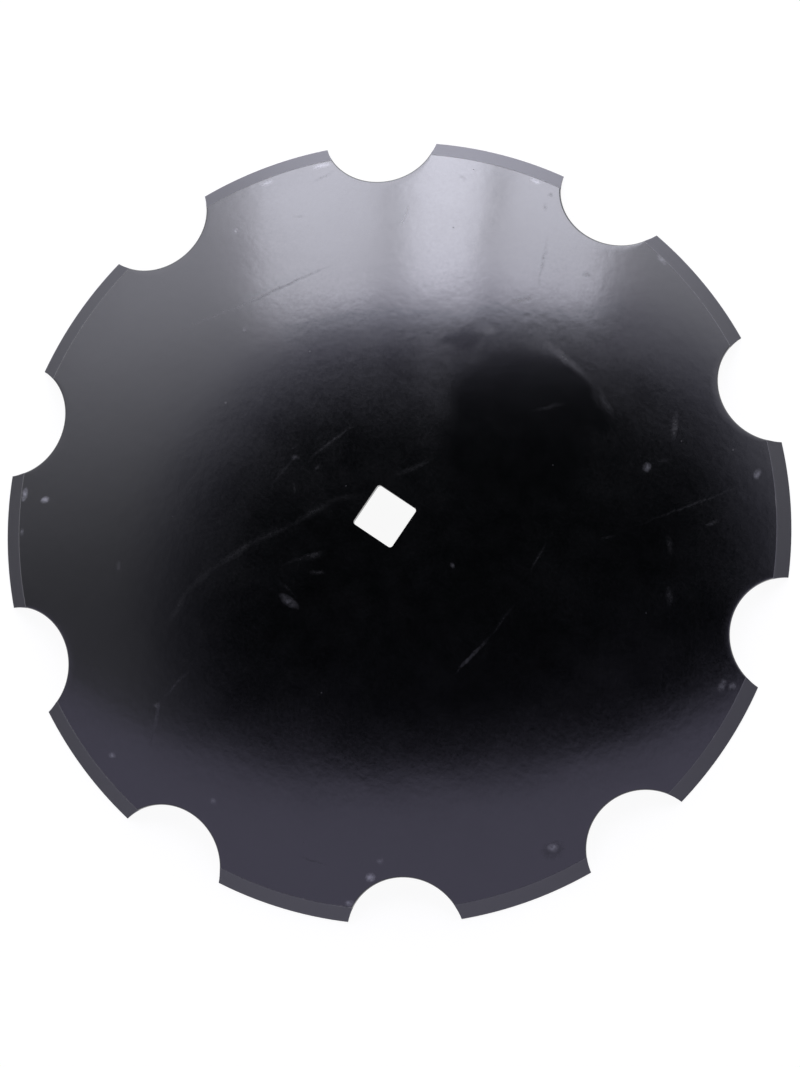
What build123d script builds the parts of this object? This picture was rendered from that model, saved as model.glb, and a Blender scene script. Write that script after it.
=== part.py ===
"""Notched blade of a disc harrow: one dished steel plate with a ground edge and a square axle hole."""

import os
from math import asin, cos, degrees, radians, sin, tan

from build123d import *

# Driving dimensions, in millimetres and degrees.
blade_diameter = 610.0  # across the cutting edge
plate_thickness = 6.0
dish_depth = 57.0  # on the hollow side, from the plane of the cutting edge up to the centre
edge_land = 1.2  # blunt rim that is left standing at the cutting edge
bevel_angle = 18.0  # between the ground bevel and the dome face beside it

notch_count = 10
notch_radius = 45.0
notch_depth = 36.0  # from the cutting edge in to the bottom of a notch
first_notch_angle = 90.0  # a notch stands square to one pair of the hole's flats
notch_edge_break = 1.3  # narrow slope that breaks the dome side edge of a notch

hole_side = 35.0  # across the flats of the square axle hole
hole_corner_radius = 2.3

tool_overrun = 5.0  # how far punch and grinder reach past the plate

# Both faces of the plate are parts of spheres about one centre on the axle line.
# The cutting edge of the hollow face lies in the plane z = 0.
blade_radius = blade_diameter / 2
hollow_sphere_radius = (blade_radius**2 + dish_depth**2) / (2 * dish_depth)
dome_sphere_radius = hollow_sphere_radius + plate_thickness
sphere_centre_height = dish_depth - hollow_sphere_radius
dome_slope = degrees(asin(blade_radius / dome_sphere_radius))

notch_centre_radius = blade_radius - notch_depth + notch_radius
blank_radius = notch_centre_radius + notch_radius + tool_overrun

# Every punch and trimming tool travels along the axle line, from below the plate to above it.
press_plane = Plane.XY.offset(sphere_centre_height)
punch_travel = dome_sphere_radius + tool_overrun

# The bevel rises inwards from the top of the edge land until it leaves the dome face.
bevel_slope = dome_slope + bevel_angle
bevel_length = plate_thickness / sin(radians(bevel_angle)) + tool_overrun
bevel_top = edge_land + bevel_length * sin(radians(bevel_slope))
bevel_inner_radius = blade_radius - bevel_length * cos(radians(bevel_slope))
grinder_outer_radius = blade_radius + tool_overrun
grinder_low = edge_land - tool_overrun * tan(radians(bevel_slope))

os.makedirs("parts", exist_ok=True)

with BuildPart() as disc_blade:
    # The pressed blank: the shell between the two spheres, wide enough to hold each notch as a whole hole.
    # The poles of the spheres are turned to the side, away from the plate.
    with Locations((0, 0, sphere_centre_height)):
        Sphere(dome_sphere_radius, rotation=(90, 0, 0))
        Sphere(hollow_sphere_radius, rotation=(90, 0, 0), mode=Mode.SUBTRACT)
    with BuildSketch(press_plane):
        Circle(blank_radius)
    extrude(amount=punch_travel, mode=Mode.INTERSECT)

    # The notches, punched as round holes, each with its sharp edge broken on the dome side.
    with BuildSketch(press_plane):
        with PolarLocations(notch_centre_radius, notch_count, start_angle=first_notch_angle):
            Circle(notch_radius)
    extrude(amount=punch_travel, mode=Mode.SUBTRACT)
    notch_edges = disc_blade.edges(Select.LAST).filter_by(GeomType.BSPLINE)
    chamfer(notch_edges.group_by(Axis.Z)[-1], length=notch_edge_break)

    # The blank trimmed round to the blade's diameter, which opens the holes into notches.
    with BuildSketch(press_plane):
        Circle(blade_radius)
    extrude(amount=punch_travel, mode=Mode.INTERSECT)

    # The bevel, ground off the dome side of every land between the notches.
    with BuildSketch(Plane.XZ):
        with BuildLine():
            Polyline(
                (grinder_outer_radius, grinder_low),
                (bevel_inner_radius, bevel_top),
                (grinder_outer_radius, bevel_top),
                close=True,
            )
        make_face()
    revolve(axis=Axis.Z, mode=Mode.SUBTRACT)

    # The square axle hole, with one pair of flats facing notches and the other facing lands.
    with BuildSketch(press_plane):
        RectangleRounded(hole_side, hole_side, hole_corner_radius)
    extrude(amount=punch_travel, mode=Mode.SUBTRACT)

disc_blade.part.label = "disc_blade"
export_step(disc_blade.part, "parts/disc_blade.step")
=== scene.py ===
# %% [markdown]
# # The blade of a disc harrow
#
# A disc harrow drags rows of round steel blades through the soil. This one is a single plate: pressed to
# a shallow dish, cut with ten round notches that grip the ground, ground to an edge on its dome side,
# punched with a square hole for the axle, and painted black.
#
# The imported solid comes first, as a fixed frame. It already has the right form, but its faces are flat
# triangles, and on a glossy black dome every one of them would show. So the plate is modelled again
# here, to the same sizes and in the same place, from points that lie exactly on the two spheres.

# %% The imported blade
import math

import bmesh
import bpy
from mathutils import Matrix, Vector


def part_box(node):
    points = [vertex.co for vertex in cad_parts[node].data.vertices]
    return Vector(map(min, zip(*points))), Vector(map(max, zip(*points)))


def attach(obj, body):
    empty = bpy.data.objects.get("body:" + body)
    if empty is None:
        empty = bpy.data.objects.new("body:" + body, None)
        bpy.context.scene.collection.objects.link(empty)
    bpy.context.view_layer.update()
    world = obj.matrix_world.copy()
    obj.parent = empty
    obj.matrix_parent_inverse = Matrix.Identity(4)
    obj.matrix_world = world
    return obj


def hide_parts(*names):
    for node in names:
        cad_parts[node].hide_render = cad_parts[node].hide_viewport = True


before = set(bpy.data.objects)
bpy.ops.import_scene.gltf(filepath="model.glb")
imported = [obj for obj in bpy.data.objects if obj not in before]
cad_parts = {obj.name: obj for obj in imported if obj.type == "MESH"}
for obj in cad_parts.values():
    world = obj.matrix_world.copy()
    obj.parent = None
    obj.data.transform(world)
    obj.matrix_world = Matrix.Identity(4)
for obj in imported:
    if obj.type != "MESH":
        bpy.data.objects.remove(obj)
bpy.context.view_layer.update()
print("packed nodes:", sorted(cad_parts))

# %% [markdown]
# ## Sizes
#
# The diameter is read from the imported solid. The rest are the plate's own sizes in millimetres. Both
# faces of a pressed disc are parts of spheres about one centre on the axle line, so the dish depth and
# the thickness settle the whole form.

# %% Sizes of the plate
MM = 0.001

blade_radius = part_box("disc_blade")[1].x
plate_thickness = 6 * MM
dish_depth = 57 * MM
edge_land = 1.2 * MM  # blunt rim left standing at the cutting edge
bevel_angle = math.radians(18)  # between the ground bevel and the dome beside it
notch_count = 10
notch_radius = 45 * MM
notch_depth = 36 * MM
notch_edge_break = 1.3 * MM
hole_side = 35 * MM
hole_corner_radius = 2.3 * MM

hollow_sphere = (blade_radius**2 + dish_depth**2) / (2 * dish_depth)
dome_sphere = hollow_sphere + plate_thickness
sphere_centre = dish_depth - hollow_sphere
notch_centre = blade_radius - notch_depth + notch_radius
print(f"dome radius {dome_sphere / MM:.1f} mm, notch centres at {notch_centre / MM:.1f} mm")

# %% [markdown]
# ## One tenth of the outline
#
# The outline repeats ten times, so one tenth is drawn: half a land, a notch, and half of the next land.
# A boolean could cut the notch out of a round plate, but it would leave slivers along the cut, just
# where the edge needs a clean bevel. Spinning a single vertex draws the same arcs as exact points: about
# the axle for a land, and about the notch's own centre for the notch.

# %% Spin the outline
land_steps = 18
notch_steps = 40
sector = 2 * math.pi / notch_count
axle_down = (0, 0, -1)  # Spin turns clockwise about its axis, so this turns anticlockwise from above

corner_angle = math.acos(
    (blade_radius**2 + notch_centre**2 - notch_radius**2) / (2 * blade_radius * notch_centre)
)
corner_rise = math.asin((notch_centre - blade_radius * math.cos(corner_angle)) / notch_radius)
land_angle = sector / 2 - corner_angle
notch_sweep = math.pi - 2 * corner_rise


def add_point(place):
    """Adds one selected vertex to the mesh that is open in edit mode."""
    bpy.ops.mesh.select_all(action="DESELECT")
    bpy.ops.mesh.primitive_plane_add(size=MM)
    bpy.ops.mesh.merge(type="CENTER")
    bpy.ops.transform.translate(value=place)


bpy.ops.object.select_all(action="DESELECT")
bpy.ops.mesh.primitive_plane_add(size=MM)
blade = bpy.context.object
blade.name = "blade_plate"
bpy.ops.object.mode_set(mode="EDIT")
bpy.ops.mesh.select_mode(type="VERT")
bpy.ops.mesh.delete(type="VERT")

# The first notch stands on the Y axis, so its sector runs from half a sector before it to half after.
first_land = Matrix.Rotation(-sector / 2, 3, "Z") @ Vector((0, blade_radius, 0))
add_point(first_land)
bpy.ops.mesh.spin(steps=land_steps, angle=land_angle, center=(0, 0, 0), axis=axle_down)
bpy.ops.mesh.spin(steps=notch_steps, angle=-notch_sweep, center=(0, notch_centre, 0), axis=axle_down)
bpy.ops.mesh.spin(steps=land_steps, angle=land_angle, center=(0, 0, 0), axis=axle_down)
outline_points = len(bmesh.from_edit_mesh(blade.data).verts)
swept = math.degrees(notch_sweep)
print(f"outline of one tenth: {outline_points} points, notch swept through {swept:.1f} degrees")

# %% [markdown]
# ## From the outline to a flat plate
#
# A second vertex is spun into a small ring close to the axle, with as many points as the outline.
# Bridge Edge Loops joins the two chains, and its cuts add the rings in between, so the whole tenth is
# even quads. Spin can also copy instead of extrude: nine more copies close the plate, and merging the
# doubles sews the seams.

# %% Bridge, copy and sew
ring_radius = 12 * MM  # inside the square hole, which is punched later
ring_cuts = 36
sew_distance = 0.005 * MM

ring_steps = 2 * land_steps + notch_steps
add_point(first_land * (ring_radius / blade_radius))
bpy.ops.mesh.spin(steps=ring_steps, angle=sector, center=(0, 0, 0), axis=axle_down)
bpy.ops.mesh.select_all(action="SELECT")
bpy.ops.mesh.bridge_edge_loops(number_cuts=ring_cuts, interpolation="LINEAR")
bpy.ops.mesh.select_all(action="SELECT")
copies = notch_count - 1
bpy.ops.mesh.spin(steps=copies, angle=copies * sector, center=(0, 0, 0), axis=axle_down, dupli=True)
bpy.ops.mesh.select_all(action="SELECT")
bpy.ops.mesh.remove_doubles(threshold=sew_distance)
print("flat plate:", len(bmesh.from_edit_mesh(blade.data).faces), "faces")

# %% [markdown]
# ## Pressing the dish
#
# The flat plate is extruded once, which gives it a lower face, an upper face and walls. Then it is
# pressed: every lower point drops onto the hollow sphere, and every upper point onto the dome. No
# operator sets a height by formula, so this one step moves the vertices in code. The walls stay
# parallel to the axle, as a punch leaves them.

# %% Thickness and press


def sphere_height(sphere_radius, point):
    """Height of a sphere about the plate's centre of curvature, above a point of the plan."""
    return sphere_centre + math.sqrt(sphere_radius**2 - point.x**2 - point.y**2)


bpy.ops.mesh.extrude_region_move(TRANSFORM_OT_translate={"value": (0, 0, plate_thickness)})
bpy.ops.mesh.select_all(action="SELECT")
bpy.ops.mesh.normals_make_consistent(inside=False)
bpy.ops.object.mode_set(mode="OBJECT")
for vertex in blade.data.vertices:
    on_dome = vertex.co.z > plate_thickness / 2
    vertex.co.z = sphere_height(dome_sphere if on_dome else hollow_sphere, vertex.co)
print(f"pressed height {max(v.co.z for v in blade.data.vertices) / MM:.2f} mm")

# %% [markdown]
# ## Breaking the notch edges
#
# The punched edge of a notch isn't razor sharp: a narrow roll runs round it on the dome side, and that
# roll is what catches a line of light. The edges are found by their place, on a notch circle and on the
# dome, and beveled in edit mode. Eight segments keep each step of the roll under the angle at which the
# shading is split later.

# %% Bevel the notch edges
roll_segments = 8
place_tolerance = 0.02 * MM
notch_centres = [
    Matrix.Rotation(i * sector, 3, "Z") @ Vector((0, notch_centre, 0)) for i in range(notch_count)
]


def on_notch_rim(vertex):
    """True for a vertex of the dome that lies on one of the notch circles."""
    if vertex.co.z < sphere_height(dome_sphere, vertex.co) - place_tolerance:
        return False
    nearest = min((vertex.co.xy - centre.xy).length for centre in notch_centres)
    return abs(nearest - notch_radius) < place_tolerance


bpy.ops.object.mode_set(mode="EDIT")
bpy.ops.mesh.select_mode(type="EDGE")
bpy.ops.mesh.select_all(action="DESELECT")
mesh = bmesh.from_edit_mesh(blade.data)
rim_vertices = {vertex for vertex in mesh.verts if on_notch_rim(vertex)}
rim_edges = [edge for edge in mesh.edges if rim_vertices.issuperset(edge.verts)]
for edge in rim_edges:
    edge.select_set(True)
bmesh.update_edit_mesh(blade.data)
bpy.ops.mesh.bevel(offset=notch_edge_break, segments=roll_segments, affect="EDGES")
bpy.ops.object.mode_set(mode="OBJECT")
print("edges rolled:", len(rim_edges))

# %% [markdown]
# ## Grinding the bevel and punching the hole
#
# The cutting edge is ground after the notches are punched, so the bevel stops at every notch and its
# inner line is a circle. A grinding cup works like a cone lowered over the dome, and the plate that is
# left is what lies inside the cone: one boolean with a cone primitive. The axle hole is a second
# boolean, with a square punch whose corners are beveled round. The Manifold solver is quick and
# needs closed meshes, which these are.

# %% Grind and punch
cone_segments = 720
cone_low = -10 * MM  # below the plate
punch_height = 200 * MM  # past both faces of the plate
hole_corner_segments = 10
dome_slope = math.asin(blade_radius / dome_sphere)
bevel_slope = dome_slope + bevel_angle


def cut_with(cutter, operation):
    """Applies a boolean of the blade with the cutter, and throws the cutter away."""
    bpy.ops.object.select_all(action="DESELECT")
    bpy.context.view_layer.objects.active = blade
    boolean = blade.modifiers.new(cutter.name, "BOOLEAN")
    boolean.object = cutter
    boolean.operation = operation
    boolean.solver = "MANIFOLD"
    bpy.ops.object.modifier_apply(modifier=boolean.name)
    bpy.data.objects.remove(cutter)
    print(f"{operation.lower()}: {len(blade.data.polygons)} faces left")


cone_high = edge_land + blade_radius * math.tan(bevel_slope)
bpy.ops.mesh.primitive_cone_add(
    vertices=cone_segments,
    radius1=(cone_high - cone_low) / math.tan(bevel_slope),
    depth=cone_high - cone_low,
    location=(0, 0, (cone_high + cone_low) / 2),
)
grinding_cone = bpy.context.object
cut_with(grinding_cone, "INTERSECT")

bpy.ops.mesh.primitive_cube_add(size=1, scale=(hole_side, hole_side, punch_height))
punch = bpy.context.object
bpy.ops.object.transform_apply(location=False, rotation=False, scale=True)
bpy.ops.object.mode_set(mode="EDIT")
bpy.ops.mesh.select_mode(type="EDGE")
bpy.ops.mesh.select_all(action="DESELECT")
mesh = bmesh.from_edit_mesh(punch.data)
for edge in mesh.edges:
    edge.select_set(abs(edge.verts[0].co.z - edge.verts[1].co.z) > hole_side)
bmesh.update_edit_mesh(punch.data)
bpy.ops.mesh.bevel(offset=hole_corner_radius, segments=hole_corner_segments, affect="EDGES")
bpy.ops.object.mode_set(mode="OBJECT")
cut_with(punch, "DIFFERENCE")

# %% [markdown]
# ## Shading and joining the frame
#
# The cuts leave a few edges of no length, and merging by distance closes them. Shade Smooth by Angle then
# rounds off everything that turns by less than a set angle and keeps the rest crisp. The steps of the dome
# and the rolls are finer than that angle and the bevel's line is coarser. The finished plate stands for
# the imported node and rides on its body.

# %% Smooth and place
crease_angle = math.radians(13)

bpy.ops.object.select_all(action="DESELECT")
blade.select_set(True)
bpy.context.view_layer.objects.active = blade
bpy.ops.object.mode_set(mode="EDIT")
bpy.ops.mesh.select_mode(type="VERT")
bpy.ops.mesh.select_all(action="SELECT")
bpy.ops.mesh.remove_doubles(threshold=sew_distance / 2)
bpy.ops.object.mode_set(mode="OBJECT")
bpy.ops.object.shade_smooth_by_angle(angle=crease_angle)
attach(blade, "root")
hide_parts("disc_blade")
triangles = sum(len(face.vertices) - 2 for face in blade.data.polygons)
print("blade triangles:", triangles)

# %% [markdown]
# ## Two helpers for materials
#
# Colours are written as the sRGB hex values that a colour picker shows, and Blender's nodes want linear
# light, so one function converts them. Another adds a node, sets it and links it in one line.

# %% Colour and node helpers


def linear(hex_colour):
    """An sRGB hex colour as linear red, green, blue and alpha."""
    parts = [int(hex_colour[i : i + 2], 16) / 255 for i in (1, 3, 5)]
    return (*(p / 12.92 if p <= 0.04045 else ((p + 0.055) / 1.055) ** 2.4 for p in parts), 1)


def add(tree, kind, inputs=None, **settings):
    """Adds a node with its settings. An input is linked if it is given a socket, and else set."""
    node = tree.nodes.new(kind)
    for name, value in settings.items():
        setattr(node, name, value)
    for socket, value in (inputs or {}).items():
        if isinstance(value, bpy.types.NodeSocket):
            tree.links.new(value, node.inputs[socket])
        else:
            node.inputs[socket].default_value = value
    return node


# %% [markdown]
# ## Black lacquer
#
# The plate is primed in grey and dipped in a thin black lacquer. The lacquer is so dark that nearly all the
# eye gets from it is what it mirrors, softened by a fine grain: a satin finish. Its black iron oxide has a
# far higher index than clear resin, so the mirror image is stronger than on plain varnish.
#
# A painted image could carry the wear, but it would be tied to one resolution. Here every mark is a small
# formula on Object coordinates, turned into millimetres of the plate, so it stays sharp at any distance.
# The first part is the gloss: slow smudges where hands and cloths went, and a fine grain on top.

# %% Gloss of the lacquer
lacquer_index = 2.0
lacquer_roughness = 0.177
smudge_size = 60  # mm
smudge_swing = 0.03
grain_size = 2.5  # mm
grain_swing = 0.02
noise_gain = 4  # a noise stays within about a quarter of its middle, 0.5

lacquer = bpy.data.materials.new("satin_black_lacquer")
lacquer.use_nodes = True
tree = lacquer.node_tree
shader = tree.nodes["Principled BSDF"]
shader.inputs["IOR"].default_value = lacquer_index
metres = add(tree, "ShaderNodeTexCoord").outputs["Object"]
plate_mm = add(tree, "ShaderNodeVectorMath", {0: metres, "Scale": 1 / MM}, operation="SCALE").outputs[0]


def swing(size, middle, amount, detail):
    """Socket with noise of a size in mm, that swings about a middle value by an amount either way."""
    noise = add(tree, "ShaderNodeTexNoise", {"Vector": plate_mm, "Scale": 1 / size, "Detail": detail})
    centred = add(tree, "ShaderNodeMath", {0: noise.outputs["Fac"], 1: 0.5}, operation="SUBTRACT")
    inputs = {0: centred.outputs[0], 1: noise_gain * amount, 2: middle}
    return add(tree, "ShaderNodeMath", inputs, operation="MULTIPLY_ADD").outputs[0]


smudged = swing(smudge_size, lacquer_roughness, smudge_swing, detail=3)
gloss = swing(grain_size, smudged, grain_swing, detail=1)
print("gloss: roughness", lacquer_roughness, "with smudges of", smudge_size, "mm")

# %% [markdown]
# ## Scuffs, chips and a smear
#
# A scuff is a place where something hard has rubbed the lacquer dull. It scatters light, so it looks pale
# where the dome mirrors the dark ceiling and dark where it mirrors a lamp: one mask of roughness serves for
# both. In a chip the lacquer has flaked off, and the pale grey primer shows. A wipe of oil does the reverse
# of a scuff: it fills the grain, and that patch mirrors the dark ceiling more clearly and looks darker.
#
# Each mark is an ellipse. A Mapping node carries the plate's millimetres into the mark's own frame, and a
# spherical gradient falls there from one in the middle to zero on the outline. A noise bends the marks a
# little, and a finer one breaks them into the dots and dashes that a scrape really leaves. The smear is
# bent by a much larger noise, which gives it a soft, ragged border.

# %% Marks
mark_height = 1000  # mm, so tall that the dome's own height doesn't matter


def marked(place, marks):
    """Socket with the sum of the marks, each from its strength in the middle to nothing at its outline."""
    total = 0.0
    for x, y, turn, length, width, strength in marks:
        inputs = {
            "Vector": place,
            "Location": (x, y, 0),
            "Rotation": (0, 0, math.radians(turn)),
            "Scale": (length / 2, width / 2, mark_height),
        }
        own = add(tree, "ShaderNodeMapping", inputs, vector_type="TEXTURE")
        fade = add(tree, "ShaderNodeTexGradient", {"Vector": own.outputs[0]}, gradient_type="SPHERICAL")
        inputs = {0: fade.outputs["Fac"], 1: strength, 2: total}
        total = add(tree, "ShaderNodeMath", inputs, operation="MULTIPLY_ADD").outputs[0]
    return total


def wandering(size, reach, detail):
    """Socket with the plate's millimetres, pushed about by a noise of a size and a reach in mm."""
    noise = add(tree, "ShaderNodeTexNoise", {"Vector": plate_mm, "Scale": 1 / size, "Detail": detail})
    inputs = {0: noise.outputs["Color"], 1: (0.5, 0.5, 0.5)}
    centred = add(tree, "ShaderNodeVectorMath", inputs, operation="SUBTRACT")
    inputs = {0: centred.outputs[0], 1: (reach, reach, 0), 2: plate_mm}
    return add(tree, "ShaderNodeVectorMath", inputs, operation="MULTIPLY_ADD").outputs[0]


# Each mark: place in mm, turn in degrees, length and width in mm, strength.
scuffs = [
    (-95, -144, 93, 36, 6.8, 0.35),
    (-92, -117, 74, 46, 6.8, 0.21),
    (-79, -84, 66, 46, 6.8, 0.30),
    (-64, -58, 58, 50, 6.8, 0.21),
    (-47, -27, 65, 40, 7.3, 0.29),
    (-34, -6, 42, 28, 7.3, 0.19),
    (-3, 42, 57, 36, 5.9, 0.29),
    (-66, 25, 71, 48, 4.0, 0.29),
    (-84, -13, 84, 32, 3.4, 0.19),
    (-64, 2.5, 79, 10, 4.0, 0.24),
    (-70, -20, -49, 11, 3.0, 0.30),
    (-34, -60, 52, 44, 3.8, 0.27),
    (-27, -54, 50, 20, 7.0, 0.36),
    (-19, -63, 33, 16, 4.0, 0.53),
    (-31, -86, -10, 24, 3.0, 0.30),
    (112, -50, 80, 40, 4.0, 0.97),
    (116, -18, 88, 40, 3.4, 0.35),
    (112, 38, 97, 30, 3.2, 0.45),
    (181, 133, 56, 110, 2.8, 0.26),
    (146, 80, 53, 14, 3.0, 0.32),
    (187, 102, 128, 18, 6.0, 0.40),
    (208, 70, 128, 18, 6.0, 0.43),
    (204, 134, 58, 14, 4.0, 0.43),
    (140, 180, 118, 26, 6.0, 0.48),
    (148, 153, 51, 13, 4.0, 0.18),
    (-64, -193, 78, 34, 3.4, 0.37),
    (-62, -227, 110, 40, 3.4, 0.99),
    (-153, -144, -55, 14, 7.0, 1.00),
    (-205, 53, 54, 102, 3.4, 0.40),
    (-169, 106, 58, 102, 3.4, 0.45),
    (-15, 233, 114, 56, 3.4, 0.40),
    (-195, 159, 38, 11, 3.6, 0.34),
    (-39, 271, -62, 11, 5.0, 0.48),
    (-41, 282, -39, 6, 5.0, 0.70),
    (19, 242, 0, 8, 6.0, 0.44),
    (-199, 197, 61, 26, 3.6, 0.42),
    (-106, 255, -9, 9, 5.0, 0.33),
    (-124, 203, 105, 38, 3.6, 0.50),
    (-10, 196, 52, 30, 6.0, 0.40),
    (45, 176, -6, 56, 9.0, 0.28),
    (-16, 162, 34, 14, 10.0, 0.25),
    (88, 165, -33, 28, 8.0, 0.22),
    (55, 138, 50, 30, 5.0, 0.20),
    (96, -245, 18, 36, 2.6, 0.58),
    (241, -136, 60, 22, 16.0, 1.13),
]
chips = [
    (-24.6, -93, -3, 20, 8.0, 0.21),
    (62.6, -2.2, -30, 6, 4.0, 0.23),
    (140.5, 141.5, 100, 9, 7.0, 0.38),
    (211, 186, 100, 10, 6.0, 0.64),
    (-82.7, -0.3, 30, 7, 6.0, 0.14),
    (-254, -140, 110, 13, 6.4, 1.20),
    (-236, -135, 60, 9, 6.0, 1.20),
    (-238.5, -166, -55, 8, 4.0, 0.44),
    (-231, 123, 30, 6, 5.0, 0.49),
    (-175, 61, 31, 5, 5.0, 0.32),
    (-79, -267, 9, 7, 6.0, 0.57),
    (-68, -215, 34, 6, 5.0, 0.23),
    (8, -251, 8, 6, 5.0, 0.29),
    (138, -216, 34, 6, 5.0, 0.49),
    (277, 37, 100, 11, 6.4, 0.34),
    (284, 41, 60, 8, 6.6, 0.45),
    (240, -135, 50, 10, 8.0, 0.85),
    (139, -231, 60, 8, 7.0, 1.16),
    (136, -256, 40, 8, 6.0, 0.74),
    (-206, 204, 46, 19, 6.0, 0.81),
    (-234.5, 169, 53, 14, 5.0, 0.53),
    (-58, 285, 9, 10, 5.4, 0.81),
    (59, 285.5, -9, 12, 5.4, 0.52),
]
smears = [
    (-31, 145, 34, 39, 21, 0.7),
    (32, 133, 36, 120, 87, 1.0),
    (50, 156, 12, 73, 47, 1.0),
    (53, 95, 36, 149, 99, 0.8),
    (88, 150, 4, 40, 25, 0.5),
]
mark_bend = 9  # mm
mark_reach = 4.0  # mm
scrape_dots = 2.2  # mm
scrape_level = 0.8  # share of a mark's strength that the dots leave on average
scrape_swing = 0.6
oil_bend = 34  # mm
oil_reach = 30  # mm
oil_starts = 0.05  # of a smear's strength
oil_full = 0.4

bent = wandering(mark_bend, mark_reach, detail=2)
broken = swing(scrape_dots, scrape_level, scrape_swing, detail=2)
inputs = {0: marked(bent, scuffs), 1: broken}
scuffed = add(tree, "ShaderNodeMath", inputs, operation="MULTIPLY", use_clamp=True).outputs[0]
inputs = {0: marked(bent, chips), 1: broken}
chipped = add(tree, "ShaderNodeMath", inputs, operation="MULTIPLY", use_clamp=True).outputs[0]
smeared = marked(wandering(oil_bend, oil_reach, detail=6), smears)
inputs = {"Value": smeared, "From Min": oil_starts, "From Max": oil_full}
oily = add(tree, "ShaderNodeMapRange", inputs, interpolation_type="SMOOTHSTEP").outputs[0]
print("scuffs:", len(scuffs), "chips:", len(chips), "smears:", len(smears))

# %% [markdown]
# ## Dust and worn edges
#
# Dust caught in the wet lacquer leaves sparse specks under a millimetre wide: Voronoi cells give one dot
# each, and the cell's random colour decides how large it is. Most cells get a dot too small to see.
#
# Along the line of the bevel and at the rim the lacquer is thin and wears through first. Both lie at a
# known distance from the axle, so two narrow bands of that distance find them, and a noise leaves only
# short stretches of bare steel.

# %% Specks and edge wear
speck_spacing = 17  # mm
speck_radius = 0.9  # mm, of the largest
speck_rarity = 4.0  # power of a cell's random number, so most dots come out tiny
bevel_line = 293.4  # mm from the axle
rim_line = 305.0  # mm from the axle
worn_half_width = 0.7  # mm
worn_patch = 16  # mm
wear_starts = 0.61  # of the noise that leaves the bare stretches
wear_full = 0.72

cells = add(tree, "ShaderNodeTexVoronoi", {"Vector": plate_mm, "Scale": 1 / speck_spacing})
luck = add(tree, "ShaderNodeSeparateColor", {0: cells.outputs["Color"]})
rare = add(tree, "ShaderNodeMath", {0: luck.outputs[0], 1: speck_rarity}, operation="POWER")
inputs = {0: rare.outputs[0], 1: speck_radius / speck_spacing}
reach = add(tree, "ShaderNodeMath", inputs, operation="MULTIPLY")
inputs = {0: cells.outputs["Distance"], 1: reach.outputs[0]}
dusty = add(tree, "ShaderNodeMath", inputs, operation="LESS_THAN").outputs[0]
dull = add(tree, "ShaderNodeMath", {0: scuffed, 1: dusty}, operation="MAXIMUM").outputs[0]

plan = add(tree, "ShaderNodeVectorMath", {0: plate_mm, 1: (1, 1, 0)}, operation="MULTIPLY")
from_axle = add(tree, "ShaderNodeVectorMath", {0: plan.outputs[0]}, operation="LENGTH").outputs["Value"]


def band(line):
    """Socket that is 1 on a circle about the axle and falls to 0 at the worn half width."""
    inputs = {0: from_axle, 1: line}
    off = add(tree, "ShaderNodeMath", inputs, operation="SUBTRACT")
    away = add(tree, "ShaderNodeMath", {0: off.outputs[0]}, operation="ABSOLUTE")
    inputs = {"Value": away.outputs[0], "From Min": worn_half_width, "From Max": 0.0}
    return add(tree, "ShaderNodeMapRange", inputs).outputs[0]


edges = add(tree, "ShaderNodeMath", {0: band(bevel_line), 1: band(rim_line)}, operation="MAXIMUM")
inputs = {"Vector": plate_mm, "Scale": 1 / worn_patch, "Detail": 4, "Roughness": 0.7}
patches = add(tree, "ShaderNodeTexNoise", inputs)
inputs = {"Value": patches.outputs["Fac"], "From Min": wear_starts, "From Max": wear_full}
thin = add(tree, "ShaderNodeMapRange", inputs)
inputs = {0: edges.outputs[0], 1: thin.outputs[0]}
bare = add(tree, "ShaderNodeMath", inputs, operation="MULTIPLY").outputs[0]
print("worn edges at", bevel_line, "and", rim_line, "mm from the axle")

# %% [markdown]
# ## Putting the finish together
#
# The bevel is ground steel with only a breath of black on it: a dark, dull metal. It lies past a known
# distance from the axle and on the dome side only, which shows in the distance from the centre of the
# spheres. Scuffs are dull too, and bare steel is paler. Each of these is mixed in by its own mask. The
# black itself carries a thin uneven film of dust, so it is never quite one colour.
#
# The bump has three parts. The press left a slow wave, the lacquer dried with an orange peel, and the
# grinding wheel left fine grooves that run round the bevel. Grooves draw a highlight out across them, as on
# brushed metal, and Anisotropic does this for the ones that are too fine to draw.

# %% Finish the lacquer
lacquer_colour = "#020303"
film_colour = "#090a0a"
primer_colour = "#969699"
bevel_colour = "#8c8c8e"
steel_colour = "#a5a39d"
oil_roughness = 0.14
bevel_roughness = 0.55
scuff_roughness = 0.55
steel_roughness = 0.4
film_size = 14  # mm
line_blur = 0.4  # mm, either side of the bevel's line
hollow_margin = 0.5  # mm above the hollow face
wave_size = 85  # mm
wave_height = 0.25  # mm
peel_size = 7  # mm
peel_height = 0.024  # mm
groove_size = 1.2  # mm, drawn coarser than real grit
groove_height = 0.012  # mm
groove_stretch = 0.95  # how far the grooves draw the shine out
quarter_turn = 0.25  # of a full turn, from along the grooves to across them

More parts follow.
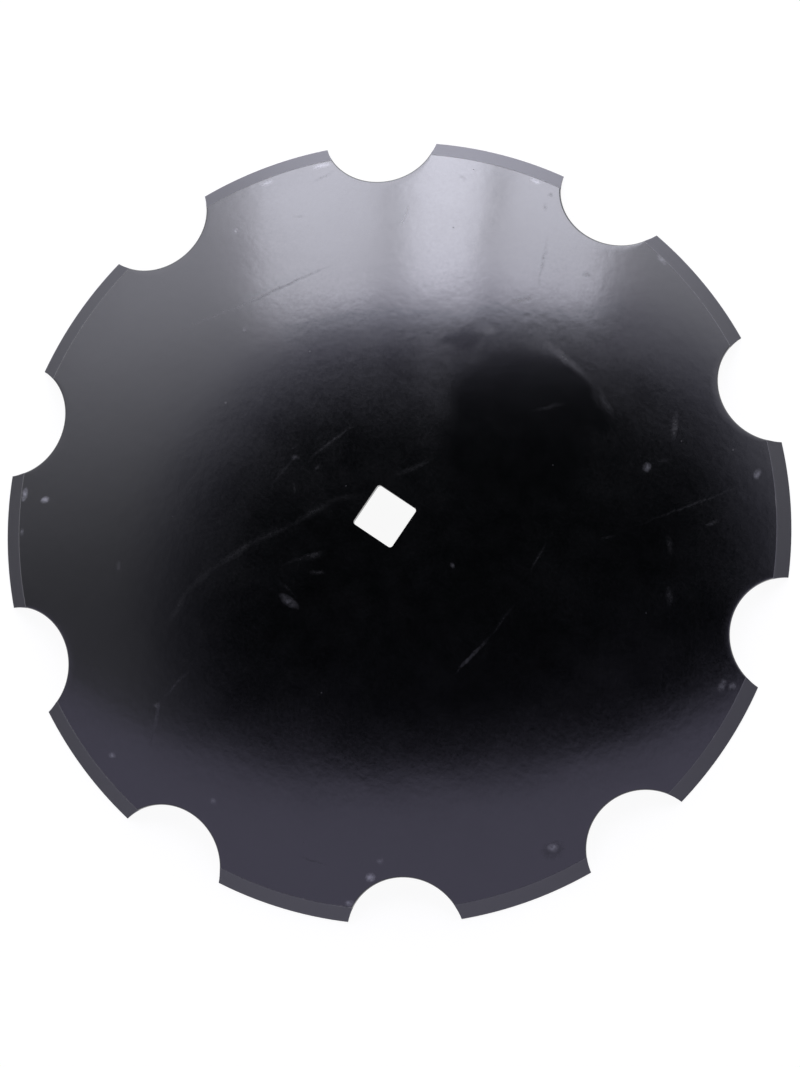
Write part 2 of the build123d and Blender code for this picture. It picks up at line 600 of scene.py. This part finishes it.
inputs = {"Value": from_axle, "From Min": bevel_line - line_blur, "From Max": bevel_line + line_blur}
past_line = add(tree, "ShaderNodeMapRange", inputs).outputs[0]
inputs = {0: plate_mm, 1: (0, 0, sphere_centre / MM)}
from_centre = add(tree, "ShaderNodeVectorMath", inputs, operation="DISTANCE").outputs["Value"]
inputs = {0: from_centre, 1: hollow_sphere / MM + hollow_margin}
above_hollow = add(tree, "ShaderNodeMath", inputs, operation="GREATER_THAN").outputs[0]
on_bevel = add(tree, "ShaderNodeMath", {0: past_line, 1: above_hollow}, operation="MULTIPLY").outputs[0]
roughness = gloss
for mask, value in (
    (oily, oil_roughness),
    (on_bevel, bevel_roughness),
    (dull, scuff_roughness),
    (bare, steel_roughness),
):
    mix = add(tree, "ShaderNodeMix", {0: mask, 2: roughness, 3: value}, data_type="FLOAT")
    roughness = mix.outputs[0]
film = swing(film_size, middle=0.5, amount=0.5, detail=4)
colour = linear(lacquer_colour)
for mask, value in (
    (film, film_colour),
    (on_bevel, bevel_colour),
    (chipped, primer_colour),
    (bare, steel_colour),
):
    mix = add(tree, "ShaderNodeMix", {0: mask, 6: colour, 7: linear(value)}, data_type="RGBA")
    colour = mix.outputs[2]

wave = swing(wave_size, middle=0.0, amount=0.5, detail=1)
peel = swing(peel_size, middle=0.0, amount=0.5, detail=2)
inputs = {"W": from_axle, "Scale": 1 / groove_size, "Detail": 2}
rings = add(tree, "ShaderNodeTexNoise", inputs, noise_dimensions="1D").outputs["Fac"]
grooves = add(tree, "ShaderNodeMath", {0: rings, 1: on_bevel}, operation="MULTIPLY").outputs[0]
normal = None
for height, distance in ((wave, wave_height), (peel, peel_height), (grooves, groove_height)):
    bump = add(tree, "ShaderNodeBump", {"Height": height, "Strength": 1.0, "Distance": distance * MM})
    if normal:
        tree.links.new(normal, bump.inputs["Normal"])
    normal = bump.outputs[0]

tree.links.new(colour, shader.inputs["Base Color"])
tree.links.new(roughness, shader.inputs["Roughness"])
inputs = {0: bare, 1: on_bevel}
metal = add(tree, "ShaderNodeMath", inputs, operation="MAXIMUM").outputs[0]
tree.links.new(metal, shader.inputs["Metallic"])
tree.links.new(normal, shader.inputs["Normal"])
inputs = {0: on_bevel, 1: groove_stretch}
stretch = add(tree, "ShaderNodeMath", inputs, operation="MULTIPLY").outputs[0]
round_rim = add(tree, "ShaderNodeTangent", direction_type="RADIAL", axis="Z").outputs[0]
tree.links.new(stretch, shader.inputs["Anisotropic"])
tree.links.new(round_rim, shader.inputs["Tangent"])
shader.inputs["Anisotropic Rotation"].default_value = quarter_turn
blade.data.materials.clear()
blade.data.materials.append(lacquer)
print("lacquer nodes:", len(tree.nodes))

# %% [markdown]
# ## White floor
#
# The blade lies on the edge of its hollow side, on white studio paper. A photographer lights the paper
# until it burns out to pure white. Here the paper glows for the camera, and for the mirrored and refracted
# rays that should show the same white. A small diffuse share is left, so the blade still throws a faint
# shadow. All other rays meet plain paper, which keeps the glow from lighting the blade from below.

# %% Floor
floor_width = 12.0  # metres
paper_colour = "#e6e6e6"
floor_glow = 0.93
shadow_share = 0.12

bpy.ops.mesh.primitive_plane_add(size=floor_width)
floor = bpy.context.object
floor.name = "studio_floor"
paper = bpy.data.materials.new("white_studio_paper")
paper.use_nodes = True
tree = paper.node_tree
tree.nodes.clear()
plain = add(tree, "ShaderNodeBsdfDiffuse", {"Color": linear(paper_colour)})
shadowed = add(tree, "ShaderNodeBsdfDiffuse", {"Color": (shadow_share, shadow_share, shadow_share, 1)})
glow = add(tree, "ShaderNodeEmission", {"Strength": floor_glow})
burnt_out = add(tree, "ShaderNodeAddShader", {0: shadowed.outputs[0], 1: glow.outputs[0]})
path = add(tree, "ShaderNodeLightPath").outputs
seen = path["Is Camera Ray"]
for ray in ("Is Glossy Ray", "Is Transmission Ray"):
    seen = add(tree, "ShaderNodeMath", {0: seen, 1: path[ray]}, operation="MAXIMUM").outputs[0]
mix = add(tree, "ShaderNodeMixShader", {0: seen, 1: plain.outputs[0], 2: burnt_out.outputs[0]})
add(tree, "ShaderNodeOutputMaterial", {"Surface": mix.outputs[0]})
floor.data.materials.append(paper)
print("floor:", floor_width, "m wide")

# %% [markdown]
# ## The room
#
# What the dome shows is the room around it. The middle of the dome mirrors a dark ceiling. Its upper part
# mirrors the bright far wall behind the lamps, whose light also spills a little way over the ceiling and
# turns violet there. The sides mirror dim walls, the right one brighter low down. The lower part mirrors a
# violet white behind the camera, with a sharp border. Towards the floor the whole room gets dimmer.
#
# A room of planes would do the same, with many more parts. A world of soft masks on the direction of each
# ray says it in a few lines: a mask for what lies beyond an angle from an axis, and a fall-off around a
# direction. The camera itself sees plain white.

# %% World
picture_up = math.radians(123.6)  # way over the floor that is up in the picture
up_way = Vector((math.cos(picture_up), math.sin(picture_up), 0))
right_way = Vector((math.sin(picture_up), -math.cos(picture_up), 0))
overhead = Vector((0, 0, 1))
wall_colour = "#f1f1ff"
spill_colour = "#dad8ff"
front_colour = "#e0dbff"
wall_level = 0.22
front_level = 0.6
horizon_dimming = 0.45

world = bpy.data.worlds.new("studio")
bpy.context.scene.world = world
world.use_nodes = True
tree = world.node_tree
tree.nodes.clear()
way = add(tree, "ShaderNodeTexCoord").outputs["Generated"]


def leaning(angle, direction):
    """The upright axis, leant by an angle in degrees towards a level direction."""
    return overhead * math.cos(math.radians(angle)) + direction * math.sin(math.radians(angle))


def level_way(angle):
    """The level direction that is an angle in degrees to the left of up in the picture."""
    return up_way * math.cos(math.radians(angle)) - right_way * math.sin(math.radians(angle))


def beyond(axis, radius, blur):
    """Socket that is 0 within an angle of an axis and 1 beyond it, over a border of twice the blur."""
    cosine = add(tree, "ShaderNodeVectorMath", {0: way, 1: axis}, operation="DOT_PRODUCT")
    inputs = {
        "Value": cosine.outputs["Value"],
        "From Min": math.cos(math.radians(radius - blur)),
        "From Max": math.cos(math.radians(radius + blur)),
    }
    return add(tree, "ShaderNodeMapRange", inputs, interpolation_type="SMOOTHSTEP").outputs[0]


def light_from(direction, level, exponent, base):
    """Socket with a base of light, and more around a direction that falls by a power of the cosine."""
    cosine = add(tree, "ShaderNodeVectorMath", {0: way, 1: direction}, operation="DOT_PRODUCT")
    ahead = add(tree, "ShaderNodeMath", {0: cosine.outputs["Value"], 1: 0.0}, operation="MAXIMUM")
    power = add(tree, "ShaderNodeMath", {0: ahead.outputs[0], 1: exponent}, operation="POWER")
    inputs = {0: power.outputs[0], 1: level, 2: base}
    return add(tree, "ShaderNodeMath", inputs, operation="MULTIPLY_ADD").outputs[0]


# These angles and levels were matched to the photograph, one part of the dome after another.
ceiling_axis = leaning(7.8, level_way(-123.4))
on_wall = beyond(ceiling_axis, radius=40.3, blur=8.6)
far_way = level_way(9.1)
walls = light_from(right_way, level=0.95, exponent=1.5, base=wall_level)
walls = light_from(far_way, level=3.18, exponent=2.0, base=walls)
spill = light_from(far_way, level=255.0, exponent=9.8, base=0.0)
front_axis = leaning(42.2, level_way(3.7))
in_front = beyond(front_axis, radius=68.2, blur=1.0)
low = beyond(overhead, radius=62, blur=8)

room = add(tree, "ShaderNodeMix", {0: on_wall, 2: spill, 3: walls}, data_type="FLOAT").outputs[0]
inputs = {0: low, 1: -horizon_dimming, 2: 1.0}
kept = add(tree, "ShaderNodeMath", inputs, operation="MULTIPLY_ADD").outputs[0]
inputs = {0: on_wall, 6: linear(spill_colour), 7: linear(wall_colour)}
room_colour = add(tree, "ShaderNodeMix", inputs, data_type="RGBA").outputs[2]
lights = []
for colour, level in ((room_colour, room), (linear(front_colour), front_level)):
    strength = add(tree, "ShaderNodeMath", {0: kept, 1: level}, operation="MULTIPLY").outputs[0]
    light = add(tree, "ShaderNodeBackground", {"Color": colour, "Strength": strength})
    lights.append(light.outputs[0])
white = add(tree, "ShaderNodeBackground", {"Color": (1, 1, 1, 1)})
camera_ray = add(tree, "ShaderNodeLightPath").outputs["Is Camera Ray"]
surround = add(tree, "ShaderNodeMixShader", {0: in_front, 1: lights[0], 2: lights[1]})
inputs = {0: camera_ray, 1: surround.outputs[0], 2: white.outputs[0]}
seen = add(tree, "ShaderNodeMixShader", inputs)
add(tree, "ShaderNodeOutputWorld", {"Surface": seen.outputs[0]})
print("world nodes:", len(tree.nodes))

# %% [markdown]
# ## Lamps
#
# Three tall softboxes stand side by side at the far wall. The dome mirrors them as three pale stripes with
# soft gaps between them, and their top edges end the bright part of the dome. They stop short of the floor,
# so that a low view doesn't mirror them all over the dome. Area lamps give the same flat, even panels, and
# their power follows from the brightness that a panel should show.

# %% Softboxes
lamp_distance = 3.0  # metres
lamp_rise = math.radians(34)  # of the middle of a panel
lamp_reach = math.radians(22)  # from there to its top and bottom
lamp_target = up_way * 0.2 + overhead * 0.04  # metres from the axle, on the upper part of the dome
lamp_colour = "#f1f1ff"
# Each panel: name, place to the right and width in metres, brightness.
panels = [
    ("softbox_left", -0.865, 0.97, 2.75),
    ("softbox_middle", 0.04, 0.573, 4.25),
    ("softbox_right", 0.855, 0.825, 2.86),
]

lamp_height = 2 * lamp_distance * math.tan(lamp_reach)
towards_lamp = up_way * math.cos(lamp_rise) + overhead * math.sin(lamp_rise)
turn = Matrix((right_way, towards_lamp.cross(right_way), towards_lamp)).transposed().to_4x4()
for name, aside, width, brightness in panels:
    light = bpy.data.lights.new(name, "AREA")
    light.shape = "RECTANGLE"
    light.size = width
    light.size_y = lamp_height
    light.energy = brightness * math.pi * width * lamp_height
    light.color = linear(lamp_colour)[:3]
    lamp = bpy.data.objects.new(name, light)
    bpy.context.scene.collection.objects.link(lamp)
    place = lamp_target + towards_lamp * lamp_distance + right_way * aside
    lamp.matrix_world = Matrix.Translation(place) @ turn
    lamp.visible_camera = False
    print(name, [round(v, 2) for v in place], f"{light.energy:.0f} W")

# %% [markdown]
# ## Camera
#
# The photograph looks almost straight down the axle, a little from one side, through a long lens. The
# place, the aim and the lens were found by matching the rim, the notches and the corners of the hole.

# %% Camera
camera_place = Vector((270.07, -75.89, 1770.45)) * MM
camera_aim = Vector((7.63, -1.77, 0)) * MM
camera_up = Vector((-0.54998, 0.82707, 0.11615))
lens = 104.07  # mm
sensor_width = 36  # mm

camera_data = bpy.data.cameras.new("camera")
camera_data.sensor_fit = "HORIZONTAL"
camera_data.sensor_width = sensor_width
camera_data.lens = lens
camera = bpy.data.objects.new("camera", camera_data)
bpy.context.scene.collection.objects.link(camera)
bpy.context.scene.camera = camera
back = (camera_place - camera_aim).normalized()
right = camera_up.cross(back).normalized()
turn = Matrix((right, back.cross(right), back)).transposed().to_4x4()
camera.matrix_world = Matrix.Translation(camera_place) @ turn
print("camera", [round(v, 3) for v in camera_place])

# %% [markdown]
#
# The dressed blade must keep the size of the imported one. Last, the picture is shown through the Standard
# view transform.

# %% Standard view transform
bpy.context.scene.view_settings.view_transform = "Standard"
